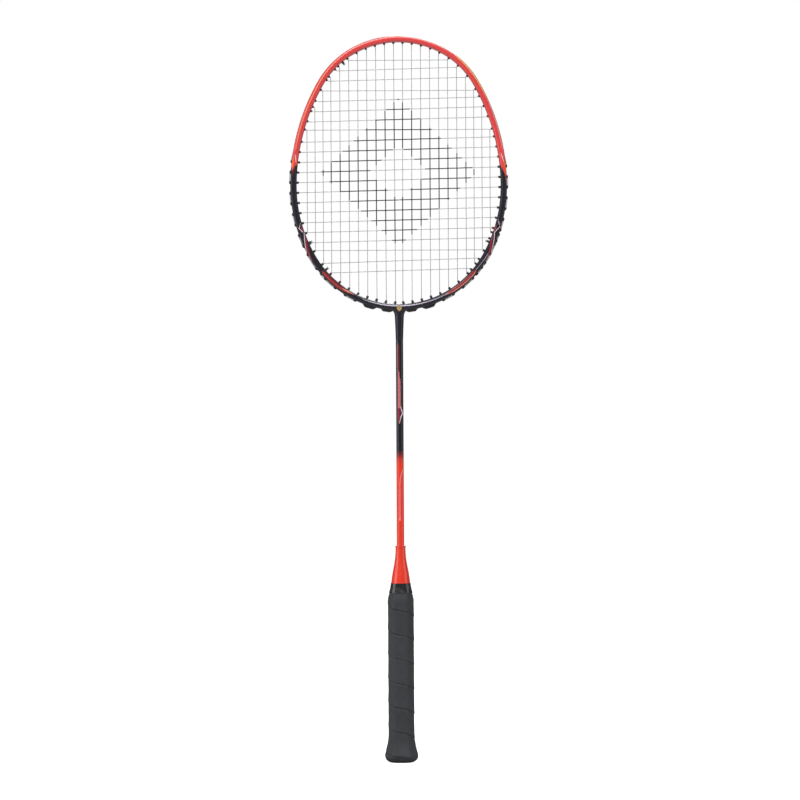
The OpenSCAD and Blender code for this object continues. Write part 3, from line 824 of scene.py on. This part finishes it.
def cross_row(j):
    left_out, left_in = ends(-LEFT[j], -STRING_SIDE)
    right_out, right_in = ends(RIGHT[j], -STRING_SIDE)
    length = right_in.x - left_in.x
    knots = []
    for c, i in enumerate(COLUMNS):
        share = (math.copysign(main_x(abs(i)), i) - left_in.x) / length
        if min(share, 1 - share) * length > END_MM:
            knots.append((share, side_of(c, j)))
    return [left_out] + woven(left_in, right_in, knots, CROSS_SWING) + [right_out]


def main_runs():
    """The main string's runs in order: columns, and the loops between them."""
    runs = []
    for c in range(2 * MAINS):
        run = main_column(c)
        runs.append(run if c % 2 == 0 else run[::-1])
        if c < 2 * MAINS - 1:
            a, b = COLUMNS[c], COLUMNS[c + 1]
            heads = TOPS if c % 2 == 0 else FEET
            start = math.copysign(heads[abs(a) - 1], a)
            stop = math.copysign(heads[abs(b) - 1], b)
            runs.append(outer_loop(start, stop, STRING_SIDE))
    return runs


def cross_runs():
    runs = []
    for j in range(CROSSES):
        run = cross_row(j)
        runs.append(run if j % 2 == 0 else run[::-1])
        if j < CROSSES - 1:
            a, b = (RIGHT[j], RIGHT[j + 1]) if j % 2 == 0 else (-LEFT[j], -LEFT[j + 1])
            runs.append(outer_loop(a, b, -STRING_SIDE))
    return runs


def tie_run(tie, h, y):
    """From inside the mouth of a tie-off hole, out and along to hole h."""
    return [hole_point(tie, NOSE_OUT - 0.2), hole_point(tie, string_out(tie), y)] + outer_loop(tie, h, y)


def chained(runs):
    """One path from the runs, without points that fall together."""
    points = []
    for run in runs:
        for p in run:
            if not points or (p - points[-1]).length > 0.02:
                points.append(p)
    return points


def rounded(points, reach=0.9, straight=-0.97):
    """The path with its corners turned into short curves, where it isn't nearly straight."""
    result = [points[0]]
    for a, b, c in zip(points, points[1:], points[2:]):
        u, v = (a - b), (c - b)
        if u.normalized().dot(v.normalized()) < straight:
            result.append(b)
            continue
        p = b + u.normalized() * min(reach, u.length / 2)
        q = b + v.normalized() * min(reach, v.length / 2)
        result += [p.lerp(b, t).lerp(b.lerp(q, t), t) for t in (0.0, 0.25, 0.5, 0.75, 1.0)]
    return result + [points[-1]]


# ---- Stencil ink: a plain hollow diamond across the strings ----
INK_MIDDLE = Vector((0.0, 0.0, OVERALL - 127.0))
INK_OUTER, INK_INNER = (73.0, 69.0), (28.0, 26.0)
INK_EXTRA = 0.14  # inked strings are drawn bolder
STRING_SIDES = 10


def ink_depth(p):
    """Above 0 inside the inked diamond band."""
    x, z = abs(p.x - INK_MIDDLE.x), abs(p.z - INK_MIDDLE.z)
    outer = 1 - x / INK_OUTER[0] - z / INK_OUTER[1]
    inner = x / INK_INNER[0] + z / INK_INNER[1] - 1
    return min(outer, inner)


def split_by_ink(points):
    """(plain paths, inked paths), cut where the path crosses the diamond's edges."""
    paths = {True: [], False: []}
    inside = ink_depth(points[0]) > 0
    current = [points[0]]
    for a, b in zip(points, points[1:]):
        if (ink_depth(b) > 0) != inside:
            low, high = 0.0, 1.0
            for _ in range(12):
                mid = (low + high) / 2
                if (ink_depth(a.lerp(b, mid)) > 0) == inside:
                    low = mid
                else:
                    high = mid
            cut = a.lerp(b, (low + high) / 2)
            paths[inside].append(current + [cut])
            current, inside = [cut], not inside
        current.append(b)
    paths[inside].append(current)
    return paths[False], paths[True]


def knot(h):
    """Small overhand knot at the mouth of a tie-off hole, with a short cut tail."""
    base, way = hole_axis(h)
    across = sideways(way)
    middle = base + way * (NOSE_OUT - 0.75 + TUBE_W / 2)
    size, deep = 0.34, 0.38
    points = []
    for t in turns(40):
        a = (math.sin(t) + 2 * math.sin(2 * t)) * size
        b = (math.cos(t) - 2 * math.cos(2 * t)) * size
        points.append(middle + across * a + Vector((0, b, 0)) + way * (-math.sin(3 * t) * deep))
    points.append(points[-1] - way * 0.5 + across * 0.3)
    return tube(points, STRING_R, 8)


def string_pieces(name, points, knots):
    """A string's white lengths with its knots as one piece, and its inked lengths as another."""
    plain, inked = split_by_ink(points)
    parts = [tube(p, STRING_R, STRING_SIDES) for p in plain if len(p) > 1] + [knot(h) for h in knots]
    new_piece(f"{name}_plain", joined(parts), string_white, [name], sharp=70)
    parts = [tube(p, STRING_R + INK_EXTRA, STRING_SIDES) for p in inked if len(p) > 1]
    new_piece(f"{name}_inked", joined(parts), string_ink, [name], sharp=70)


main_path = rounded(chained(
    [tie_run(-MAIN_TIE, -FEET[-1], STRING_SIDE)]
    + main_runs()
    + [tie_run(MAIN_TIE, FEET[-1], STRING_SIDE)[::-1]]
))
cross_path = rounded(chained(
    [tie_run(-CROSS_TIE_TOP, -LEFT[0], -STRING_SIDE)]
    + cross_runs()
    + [tie_run(-CROSS_TIE_FOOT, -LEFT[-1], -STRING_SIDE)[::-1]]
))
string_pieces("main_strings", main_path, [-MAIN_TIE, MAIN_TIE])
string_pieces("cross_strings", cross_path, [-CROSS_TIE_TOP, -CROSS_TIE_FOOT])

# ---- Grommets ----
BORE_R, BARREL_R = 0.8, 1.12
GROMMET_SIDES = 20
HOLES = sorted({round(h, 6) for h in TOPS + FEET + RIGHT} | {-round(h, 6) for h in TOPS + FEET + LEFT})
TIES = [MAIN_TIE, -MAIN_TIE, -CROSS_TIE_TOP, -CROSS_TIE_FOOT]


def hole_ring(h, r, out, ear=0.0):
    """Ring round a hole's axis that rises by ear on the two sides away from the strings."""
    base, way = hole_axis(h)
    across = sideways(way)
    ring = []
    for a in turns(GROMMET_SIDES):
        rise = ear * max(0.0, abs(math.sin(a)) * 1.5 - 0.5)
        spoke = across * (r * math.cos(a)) + Vector((0, r * math.sin(a), 0))
        ring.append(tuple(base + way * (out + rise + TUBE_W / 2) + spoke))
    return ring


def grommet(h, flange_r, ear, shorter=0.0):
    """Barrel with a rounded nose and a flange whose ears stand beside the string."""
    tip = NOSE_OUT + shorter
    seat = floor_out(h)
    profile = [
        (BORE_R, tip + 0.4, 0), (BORE_R + 0.04, tip, 0), (BARREL_R - 0.15, tip, 0),
        (BARREL_R, tip + 0.25, 0), (BARREL_R + 0.06, -TUBE_W / 2, 0), (BARREL_R, seat - 0.05, 0),
        (flange_r, seat - 0.05, 0), (flange_r + 0.03, seat + 0.15, 0.2),
        (flange_r - 0.12, seat + FLANGE, 0.85), (flange_r - 0.4, seat + FLANGE + 0.05, 1.0),
        (BORE_R + 0.12, seat + FLANGE, 0.7), (BORE_R, seat + FLANGE - 0.25, 0), (BORE_R, seat - 1.0, 0),
    ]
    return rings_solid([hole_ring(h, r, out, ear * share) for r, out, share in profile], closed=True)


def grommet_piece(name, headings, node, flange_r, ear, shorter=0.0):
    parts = [grommet(h, flange_r, ear, shorter) for h in headings]
    new_piece(name, joined(parts), black_nylon, [node], sharp=45)


CROWN = [h for h in HOLES if abs(h) < GROOVE_END]
SIDES = [h for h in HOLES if GROOVE_END < abs(h) < THROAT_EDGE]
grommet_piece("crown_grommet_set", CROWN, "crown_grommets", flange_r=1.6, ear=0.1, shorter=0.8)
grommet_piece("side_grommet_set", SIDES, "side_grommets", flange_r=1.75, ear=0.75)
grommet_piece("tie_off_grommet_set", TIES, "tie_off_grommets", flange_r=1.6, ear=0.3)


def saddle(a, b):
    """Raised twin grommet with a channel that the string lies in, between holes a and b."""
    lean_a, lean_b = hole_point(a, TUBE_W / 2), hole_point(b, TUBE_W / 2)
    along = (lean_b - lean_a).normalized()
    away = sideways(along)
    if away.z > 0:
        away = -away
    overhang, ramp_length, steps = 2.3, 4.2, 24
    start, stop = -overhang, (lean_b - lean_a).length + overhang
    half = [(0.6, 0.72), (0.85, 1.32), (1.35, 1.2), (1.6, 0.55), (1.75, -0.6)]
    shape = [(-y, up) for y, up in half[::-1]] + half
    rings = []
    for i in range(steps + 1):
        s = start + (stop - start) * i / steps
        t = min(s - start, stop - s) / ramp_length
        high = math.sin(min(1.0, t) * math.pi / 2) if t > 0 else 0.0
        slim = 0.55 + 0.45 * high
        ring = []
        for y, up in shape:
            rise = SADDLE * 1.05 * up * high if up > 0 else up
            ring.append(tuple(lean_a + along * s + away * rise + Vector((0, y * slim, 0))))
        rings.append(ring)
    return rings_solid(rings)


def barrel(h):
    """Tube of a throat hole, longer at the nose than the others."""
    tip = NOSE_OUT - 0.6
    profile = [
        (BORE_R, tip + 1.1), (BORE_R + 0.04, tip), (BARREL_R - 0.2, tip), (BARREL_R, tip + 0.3),
        (BARREL_R + 0.12, -TUBE_W / 2), (BARREL_R, TUBE_W / 2), (BORE_R, TUBE_W / 2),
    ]
    return rings_solid([hole_ring(h, r, out) for r, out in profile], closed=True)


def throat_set():
    parts = []
    for side in (-1, 1):
        feet = [side * FEET[i] for i in range(4)]
        parts += [barrel(h) for h in feet]
        parts += [saddle(feet[0], feet[1]), saddle(feet[2], feet[3])]
    node = ["throat_grommets"]
    new_piece("throat_grommet_set", joined(parts), black_nylon, node, sharp=45)


throat_set()


# ---- Painted stripes on the shaft, through (height, middle x, width) points ----
def shaft_grid(path, face):
    """Surface points and normals of a stripe on the shaft's front (-1), or turned round on its back."""
    points, normals = [], []
    for z, middle, width in path_steps(path, 1.5):
        row, ups = [], []
        for j in range(ACROSS + 1):
            a = math.asin(max(-0.999, min(0.999, (middle + width * (j / ACROSS - 0.5)) / SHAFT_R)))
            n = Vector((-face * math.sin(a), face * math.cos(a), 0))
            row.append(n * SHAFT_R + Vector((0, 0, z)))
            ups.append(n)
        points.append(row)
        normals.append(ups)
    return points, normals


def shaft_stripe(name, mat, path, lift=0.04):
    parts = [skin(*shaft_grid(path, face), lift) for face in (-1, 1)]
    new_piece(name, joined(parts), mat, sharp=40)


shaft_stripe("shaft_coral_stripe", lacquer("shaft_stripe_pink", (0.64, 0.16, 0.18)), [
    (365, -1.0, 0.2), (363, -0.9, 1.2), (357, -0.8, 1.5), (355.5, -0.5, 2.4), (331, -0.4, 2.5),
    (329, -0.6, 2.4),
])
shaft_stripe("shaft_red_flash", crimson, [
    (329, -0.6, 2.2), (324, -0.7, 2.4), (319, -0.9, 1.6), (315, -1.1, 0.4),
])
shaft_stripe("shaft_white_flash", pink_white, [
    (331, 0.7, 0.3), (327, 1.6, 1.1), (324.2, 2.5, 1.0), (321, 1.0, 1.1), (318.5, 0.4, 0.7),
    (314.5, -0.6, 0.3),
], lift=0.07)
shaft_stripe("shaft_dark_red_panel", maroon, [
    (390, -1.2, 0.3), (386, -1.3, 2.4), (368, -1.2, 2.6), (362, -1.2, 1.4),
])
shaft_stripe("shaft_thin_line", pink_white, [
    (272, 2.3, 0.2), (270, 2.0, 0.35), (265, 0.2, 0.35), (258, -0.3, 0.35), (228, -0.4, 0.35),
    (226, -0.4, 0.9), (224.6, -0.4, 0.5),
])

# ---- Handle ----
BELLY, FLARE_TOP = 7.0, 26.0
FLARE_CURVE, BELLY_CURVE, BUTT_CUT = 1.6, 2.5, 0.86
SHOULDER, GRIP_TOP = HANDLE - 15.8, HANDLE - 0.9
NECK_W = 17.7
OUTLINE = 96  # points round the handle: 5 at each corner and 7 along each flat
BEVEL_SHRINK = 0.586  # of an inset, as the octagon's corners turn by about 45 degrees


def flare(z):
    """How much wider the handle is at height z than its straight part."""
    if z >= FLARE_TOP:
        return 0.0
    if z >= BELLY:
        return (BUTT_W - GRIP_W) * ((FLARE_TOP - z) / (FLARE_TOP - BELLY)) ** FLARE_CURVE
    return BUTT_W * (1 - (BUTT_CUT * (BELLY - z) / BELLY) ** BELLY_CURVE) ** (1 / BELLY_CURVE) - GRIP_W


def handle_size(z):
    """(width, depth, bevel) of the wrapped handle at height z."""
    if z > SHOULDER:
        t = min(1.0, (z - SHOULDER) / (GRIP_TOP - SHOULDER))
        t = t * t * (3 - 2 * t) * 0.5 + t * 0.5  # half a smooth step, half a straight line
        share = 1 - t + t * NECK_W / GRIP_W
        return GRIP_W * share, GRIP_D * share, BEVEL * share
    wide = GRIP_W + flare(z)
    return wide, GRIP_D + flare(z), BEVEL * wide / GRIP_W


def octagon(z, inset, soft):
    """Points round the handle at height z, with its eight corners rounded."""
    w, d, b = handle_size(z)
    x, y, b = w / 2 - inset, d / 2 - inset, b - BEVEL_SHRINK * inset
    corners = [
        (x, b - y), (x, y - b), (x - b, y), (b - x, y),
        (-x, y - b), (-x, b - y), (b - x, -y), (x - b, -y),
    ]
    arcs = []
    for i, v in enumerate(corners):
        v, a, c = Vector(v), Vector(corners[i - 1]), Vector(corners[(i + 1) % 8])
        p, q = v + (a - v).normalized() * soft, v + (c - v).normalized() * soft
        arcs.append([p.lerp(v, t).lerp(v.lerp(q, t), t) for t in (0, 0.25, 0.5, 0.75, 1)])
    points = []
    for i, arc in enumerate(arcs):
        following = arcs[(i + 1) % 8][0]
        points += arc + [arc[-1].lerp(following, (k + 1) / 8) for k in range(7)]
    return points


def octagon_ring(z, inset, soft):
    return [(p.x, p.y, z) for p in octagon(z, inset, soft)]


WRAP_PITCH = 22.6
# Face of the strip as (share of the pitch, lift): a step at the overlap, a fall, then flat
SEAM = [
    (0.0, -0.42), (0.012, -0.30), (0.024, 0.20), (0.05, 0.30), (0.085, 0.26), (0.125, 0.20),
    (0.165, 0.15), (0.2, 0.12), (0.24, 0.09), (0.28, 0.07), (0.32, 0.05), (0.36, 0.04),
]
SEAM += [(0.4 + 0.04 * k, 0.0) for k in range(14)] + [(0.95, -0.04), (0.972, -0.12), (0.99, -0.26)]


def wrap_point(column, z, lift, low, high):
    """Point of the wrap's face, a little wavy, and calm and flush at its lower and upper end."""
    z = max(low, min(high, z))
    p = octagon(z, 0.0, 1.5)[column]
    q = octagon(z, 1.0, 1.5)[column]
    away = (p - q).normalized()
    wave = 0.07 * math.sin(column * 0.39 + z * 0.21) + 0.05 * math.sin(column * 0.93 - z * 0.47)
    fade = min(1.0, (z - low) / 2.5, (high - z) / 2.0)
    p = p + away * ((lift + wave) * max(0.0, fade) - 0.12)
    return p.x, p.y, z


def grip_wrap(low=1.6, high=GRIP_TOP - 0.2):
    """The wrap: one skin whose rows follow the overlap of the strip up the handle."""
    start = low - 0.2 - WRAP_PITCH
    laps = math.ceil((high - start) / WRAP_PITCH) + 3
    verts, faces, seen = [], [], {}

    def index(row, column):
        row, column = (row, column) if column < OUTLINE else (row - len(SEAM), 0)
        lap, phase = divmod(row, len(SEAM))
        share, lift = SEAM[phase]
        z = start + WRAP_PITCH * (lap + share - column / OUTLINE)
        point = wrap_point(column, z, lift, low, high)
        key = (column, round(point[2], 4))
        if key not in seen:
            seen[key] = len(verts)
            verts.append(point)
        return seen[key]

    for row in range(laps * len(SEAM)):
        for column in range(OUTLINE):
            quad = []
            for r, c in ((row, column), (row, column + 1), (row + 1, column + 1), (row + 1, column)):
                v = index(r, c)
                if v not in quad:
                    quad.append(v)
            if len(quad) > 2:
                faces.append(tuple(quad))
    inner = []
    for z in (low, low + 6, 14, 22, FLARE_TOP, SHOULDER, high):
        inner.append(len(verts))
        verts += octagon_ring(z, WRAP - 0.25 if z < high else 0.7, 1.2)
    for a, b in zip(inner, inner[1:]):
        faces += ring_faces(a, b, OUTLINE)
    for z, base in ((low, inner[0]), (high, inner[-1])):
        rim = [seen[(c, round(z, 4))] for c in range(OUTLINE)]
        for c in range(OUTLINE):
            following = (c + 1) % OUTLINE
            faces.append((rim[c], rim[following], base + following, base + c))
    new_piece("grip_wrap", (verts, faces), charcoal, ["grip_tape"], sharp=70)


grip_wrap()


def butt_cap():
    """Bare rim of the cap with a round recess for the medallion, and a hollow inside."""
    recess_r, recess_z, edge = 8.03, 0.78, 0.55
    outside = [(1.6, 0.1), (1.2, 0.02), (0.7, 0.0), (0.3, 0.03), (0.08, 0.14), (0.0, 0.36), (0.0, edge)]
    rings = [octagon_ring(z, inset, 2.2) for z, inset in outside]
    flat = octagon(0.0, edge, 2.2)
    # From the octagon to the recess's circle, and then up and in
    for share, size, z in ((0.45, 1, 0.0), (0.8, 1, 0.0), (1, 1, 0.0), (1, 1, 0.75), (1, 0.9, recess_z)):
        ring = []
        for p in flat:
            a = math.atan2(p.y, p.x)
            q = p.lerp(Vector((recess_r * math.cos(a), recess_r * math.sin(a))), share) * size
            ring.append((q.x, q.y, z))
        rings.append(ring)
    rings.append([(0.0, 0.0, recess_z)] * OUTLINE)
    neck = [(1.6, 1.7), (12.0, 1.7), (18.9, 1.7), (18.9, 2.35), (12.0, 2.35), (4.0, 2.35)]
    inside = [octagon_ring(z, inset, 1.4) for z, inset in neck]
    inside.append([(0.0, 0.0, 4.0)] * OUTLINE)
    solid = rings_solid(inside[::-1] + rings, cap=False)
    new_piece("butt_cap_rim", solid, cap_black, ["butt_cap"], sharp=50)


butt_cap()

# A plain disc with a raised rim, seen from below
DISC = revolve([
    (0.001, 1.0), (8.0, 1.0), (8.0, 0.42), (7.9, 0.33), (7.7, 0.3), (6.9, 0.3),
    (6.75, 0.36), (6.6, 0.42), (6.3, 0.42), (4.0, 0.36), (2.0, 0.33), (0.001, 0.32),
], 72)
new_piece("medallion_disc", DISC, medallion_red, ["butt_medallion"], sharp=35)


def finishing_band():
    """Gloss tape round the top of the wrap, a little uneven, with a lap at the back."""
    low, high = HANDLE - 8.8, HANDLE - 0.05

    def ring(z, lift, calm=1.0):
        result = []
        inner = octagon(z, 1.0, 2.6)
        for c, p in enumerate(octagon(z, 0.0, 2.6)):
            away = (p - inner[c]).normalized()
            lap = 0.1 * max(0.0, min(1.0, (c - 20) / 3, (34 - c) / 3))
            pucker = 0.035 * math.sin(c * 0.52 + z * 0.9) + 0.02 * math.sin(c * 1.1 - z * 0.6)
            q = p + away * (lift + (lap + pucker) * calm)
            result.append((q.x, q.y, z))
        return result

    rings = [ring(low, -0.05, 0.0), ring(low, 0.3, 0.5)]
    rings += [ring(low + (high - low) * i / 10, 0.42) for i in range(11)]
    rings += [ring(high, 0.25, 0.5), ring(high, -0.9, 0.0), ring(low, -0.3, 0.0)]
    solid = rings_solid(rings, closed=True)
    new_piece("finishing_band", solid, band_gloss, ["finishing_tape"], sharp=50)


finishing_band()


# ---- Studio ----
def studio_floor():
    """White disc whose glow only the camera sees, so that it doesn't light the racket."""
    mesh = bpy.data.meshes.new("studio_floor")
    sides, radius_m, grey = 96, 30.0, (0.5, 0.5, 0.5)
    mesh.from_pydata(circle(radius_m, 0, sides), [], [tuple(range(sides))])
    floor = bpy.data.objects.new("studio_floor", mesh)
    bpy.context.scene.collection.objects.link(floor)
    mat = material("pale_floor", grey, 0.9, Emission_Color=(1, 1, 1, 1))
    mottle(mat, grey, 3, 0.985, 1.01)
    glow = add(mat, "ShaderNodeMath", operation="MULTIPLY")
    glow.inputs[1].default_value = 0.94
    link(mat, add(mat, "ShaderNodeLightPath"), "Is Camera Ray", glow, 0)
    link(mat, glow, "Value", shader_of(mat), "Emission Strength")
    mesh.materials.append(mat)


def softbox(name, at, aim, size, watts):
    data = bpy.data.lights.new(name, "AREA")
    data.shape, data.size, data.size_y = "RECTANGLE", size[0], size[1]
    data.energy = watts
    lamp = bpy.data.objects.new(name, data)
    lamp.location = at
    lamp.rotation_euler = (Vector(aim) - Vector(at)).to_track_quat("-Z", "Y").to_euler()
    bpy.context.scene.collection.objects.link(lamp)


def studio_world(seen, strength):
    """White behind the racket, dimmer as a light so that dark lacquer stays dark."""
    world = bpy.data.worlds.new("studio")
    world.use_nodes = True
    tree = world.node_tree
    shade = tree.nodes["Background"]
    shade.inputs["Color"].default_value = (1, 1, 1, 1)
    span = tree.nodes.new("ShaderNodeMapRange")
    span.inputs["To Min"].default_value = strength
    span.inputs["To Max"].default_value = seen
    tree.links.new(tree.nodes.new("ShaderNodeLightPath").outputs["Is Camera Ray"], span.inputs["Value"])
    tree.links.new(span.outputs["Result"], shade.inputs["Strength"])
    bpy.context.scene.world = world


def camera(distance=3.2, span=0.7436, right=0.0002, down=0.001, roll=0.30):
    """Long lens near the height of the racket's middle, looking straight at its front."""
    data = bpy.data.cameras.new("camera")
    data.sensor_width = 36
    data.lens = data.sensor_width * distance / span
    data.clip_end = 200
    cam = bpy.data.objects.new("camera", data)
    bpy.context.scene.collection.objects.link(cam)
    middle = (cad_low + cad_high) / 2
    cam.location = (middle.x + right, middle.y - distance, middle.z - down)
    cam.rotation_euler = (math.radians(90), math.radians(roll), 0)
    bpy.context.scene.camera = cam


bpy.context.scene.view_settings.view_transform = "Standard"
camera()
studio_floor()
studio_world(seen=1.0, strength=0.12)
softbox("key_above", (-0.4, -2.2, 2.9), (0, 0, 0.4), (2.8, 2.2), 98)
softbox("left_side", (-2.1, -0.8, 0.7), (0, 0, 0.35), (1.4, 1.8), 17)
softbox("right_side", (2.1, -0.8, 0.8), (0, 0, 0.35), (1.4, 1.8), 9)
softbox("back_above", (0.5, 2.2, 2.6), (0, 0, 0.4), (1.4, 1.2), 60)
